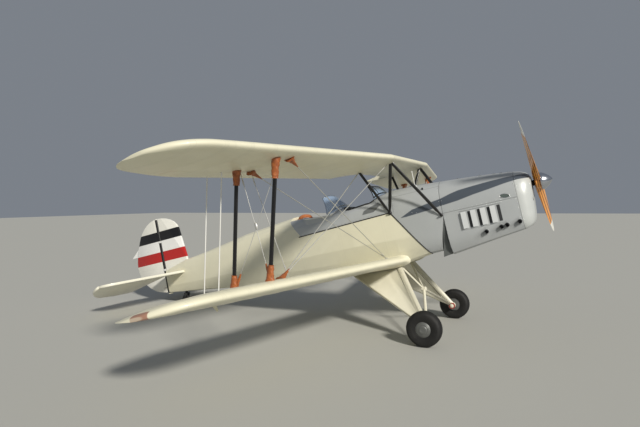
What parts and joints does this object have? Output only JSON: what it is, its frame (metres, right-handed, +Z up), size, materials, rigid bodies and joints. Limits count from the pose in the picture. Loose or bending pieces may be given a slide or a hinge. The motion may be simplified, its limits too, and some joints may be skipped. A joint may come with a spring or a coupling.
{
  "type": "light training biplane",
  "caption": "Two-seat open-cockpit training biplane with swept fabric wings, metal nose, wooden propeller, fixed main wheels and a tail wheel.",
  "frame": {"origin": "on the ground under the middle of the bounding box, standing on its three wheels", "axes": "+X towards the nose, +Y towards the port wing tip, +Z up"},
  "size_m": [6.6172, 7.39, 2.4644],
  "materials": {
    "fabric": "satin",
    "metal_panel": "satin",
    "dark_metal": "matte",
    "dark_steel": "satin",
    "black_paint": "gloss",
    "cream_paint": "gloss",
    "wire_steel": "polished",
    "tyre_rubber": "matte",
    "hub_metal": "satin",
    "leather": "satin",
    "panel_black": "matte",
    "glass": "polished",
    "varnished_wood": "gloss",
    "polished_metal": "polished"
  },
  "bodies": {
    "airframe": {"cabane_left": "black_paint", "cabane_right": "black_paint", "control_stick_front": "dark_steel", "control_stick_rear": "dark_steel", "cowl_lower": "metal_panel", "cowl_upper": "metal_panel", "engine_block": "dark_metal", "exhaust_stubs": "dark_steel", "fin": "fabric", "firewall": "dark_metal", "flying_wires_left": "wire_steel", "flying_wires_right": "wire_steel", "front_side_panels": "metal_panel", "fuselage_rear": "fabric", "gear_leg_left": "cream_paint", "gear_leg_right": "cream_paint", "gear_pyramid": "cream_paint", "headrest": "leather", "instrument_panel_front": "panel_black", "instrument_panel_rear": "panel_black", "interplane_strut_front_left": "black_paint", "interplane_strut_front_right": "black_paint", "interplane_strut_rear_left": "black_paint", "interplane_strut_rear_right": "black_paint", "landing_wires_left": "wire_steel", "landing_wires_right": "wire_steel", "lower_wing_left": "fabric", "lower_wing_right": "fabric", "nose_bowl": "metal_panel", "seat_front": "leather", "seat_rear": "leather", "stabilizer": "fabric", "tail_wheel_strut": "dark_steel", "top_decking": "metal_panel", "upper_wing_center": "fabric", "upper_wing_left": "fabric", "upper_wing_right": "fabric", "windscreen_front": "glass", "windscreen_rear": "glass"},
    "propeller": {"propeller": "varnished_wood", "spinner": "polished_metal"},
    "wheel_right": {"tyre_right": "tyre_rubber", "wheel_hub_right": "hub_metal"},
    "wheel_left": {"tyre_left": "tyre_rubber", "wheel_hub_left": "hub_metal"},
    "tail_fork": {"tail_wheel_fork": "dark_steel"},
    "tail_wheel": {"tail_wheel": "tyre_rubber"},
    "rudder": {"rudder": "fabric"},
    "elevator": {"elevator": "fabric"},
    "aileron_lower_right": {"aileron_lower_right": "fabric"},
    "aileron_upper_right": {"aileron_upper_right": "fabric"},
    "aileron_lower_left": {"aileron_lower_left": "fabric"},
    "aileron_upper_left": {"aileron_upper_left": "fabric"},
    "aileron_rod_right": {"aileron_rod_right": "cream_paint"},
    "aileron_rod_left": {"aileron_rod_left": "cream_paint"}
  },
  "joints": [
    {"name": "propeller_spin", "type": "hinge", "parent": "airframe", "child": "propeller", "pos_m": [3.15746, 0, 1.85421], "axis": [0.9752, 0, 0.2212], "continuous": true},
    {"name": "wheel_right_spin", "type": "hinge", "parent": "airframe", "child": "wheel_right", "pos_m": [2.02569, -0.7885, 0.20295], "axis": [0, 1, 0], "continuous": true},
    {"name": "wheel_left_spin", "type": "hinge", "parent": "airframe", "child": "wheel_left", "pos_m": [2.02569, 0.7885, 0.20295], "axis": [0, 1, 0], "continuous": true},
    {"name": "tail_wheel_steer", "type": "hinge", "parent": "airframe", "child": "tail_fork", "pos_m": [-2.11443, 0, 0.16929], "axis": [-0.2212, 0, 0.9752], "range_deg": [-30, 30]},
    {"name": "tail_wheel_spin", "type": "hinge", "parent": "tail_fork", "child": "tail_wheel", "pos_m": [-2.12448, 0, 0.078], "axis": [0, 1, 0], "continuous": true},
    {"name": "rudder_hinge", "type": "hinge", "parent": "airframe", "child": "rudder", "pos_m": [-2.59907, 0, 0.69203], "axis": [-0.2212, 0, 0.9752], "range_deg": [-28, 28]},
    {"name": "elevator_hinge", "type": "hinge", "parent": "airframe", "child": "elevator", "pos_m": [-2.47843, 0, 0.46304], "axis": [0, 1, 0], "range_deg": [-7, 43]},
    {"name": "aileron_lower_right_hinge", "type": "hinge", "parent": "airframe", "child": "aileron_lower_right", "pos_m": [0.58858, -2.55, 0.74699], "axis": [0.1954, 0.9807, 0.0045], "range_deg": [-20, 25]},
    {"name": "aileron_upper_right_hinge", "type": "hinge", "parent": "airframe", "child": "aileron_upper_right", "pos_m": [0.63087, -2.55, 1.94984], "axis": [0.1913, 0.9813, 0.023], "range_deg": [-20, 25]},
    {"name": "aileron_lower_left_hinge", "type": "hinge", "parent": "airframe", "child": "aileron_lower_left", "pos_m": [0.58858, 2.55, 0.74699], "axis": [-0.1954, 0.9807, -0.0045], "range_deg": [-25, 20]},
    {"name": "aileron_upper_left_hinge", "type": "hinge", "parent": "airframe", "child": "aileron_upper_left", "pos_m": [0.63087, 2.55, 1.94984], "axis": [-0.1913, 0.9813, -0.023], "range_deg": [-25, 20]},
    {"name": "aileron_rod_right_eye", "type": "hinge", "parent": "aileron_lower_right", "child": "aileron_rod_right", "pos_m": [0.43766, -2.65, 0.73639], "axis": [0.1954, 0.9807, 0.0045], "range_deg": [-25, 20]},
    {"name": "aileron_rod_left_eye", "type": "hinge", "parent": "aileron_lower_left", "child": "aileron_rod_left", "pos_m": [0.43766, 2.65, 0.73639], "axis": [-0.1954, 0.9807, -0.0045], "range_deg": [-20, 25]}
  ],
  "couplings": [
    {"joint": "aileron_upper_right_hinge", "follows": "aileron_lower_right_hinge", "ratio": 1},
    {"joint": "aileron_lower_left_hinge", "follows": "aileron_lower_right_hinge", "ratio": -1},
    {"joint": "aileron_upper_left_hinge", "follows": "aileron_lower_right_hinge", "ratio": -1},
    {"joint": "aileron_rod_right_eye", "follows": "aileron_lower_right_hinge", "ratio": -1},
    {"joint": "aileron_rod_left_eye", "follows": "aileron_lower_right_hinge", "ratio": 1}
  ]
}
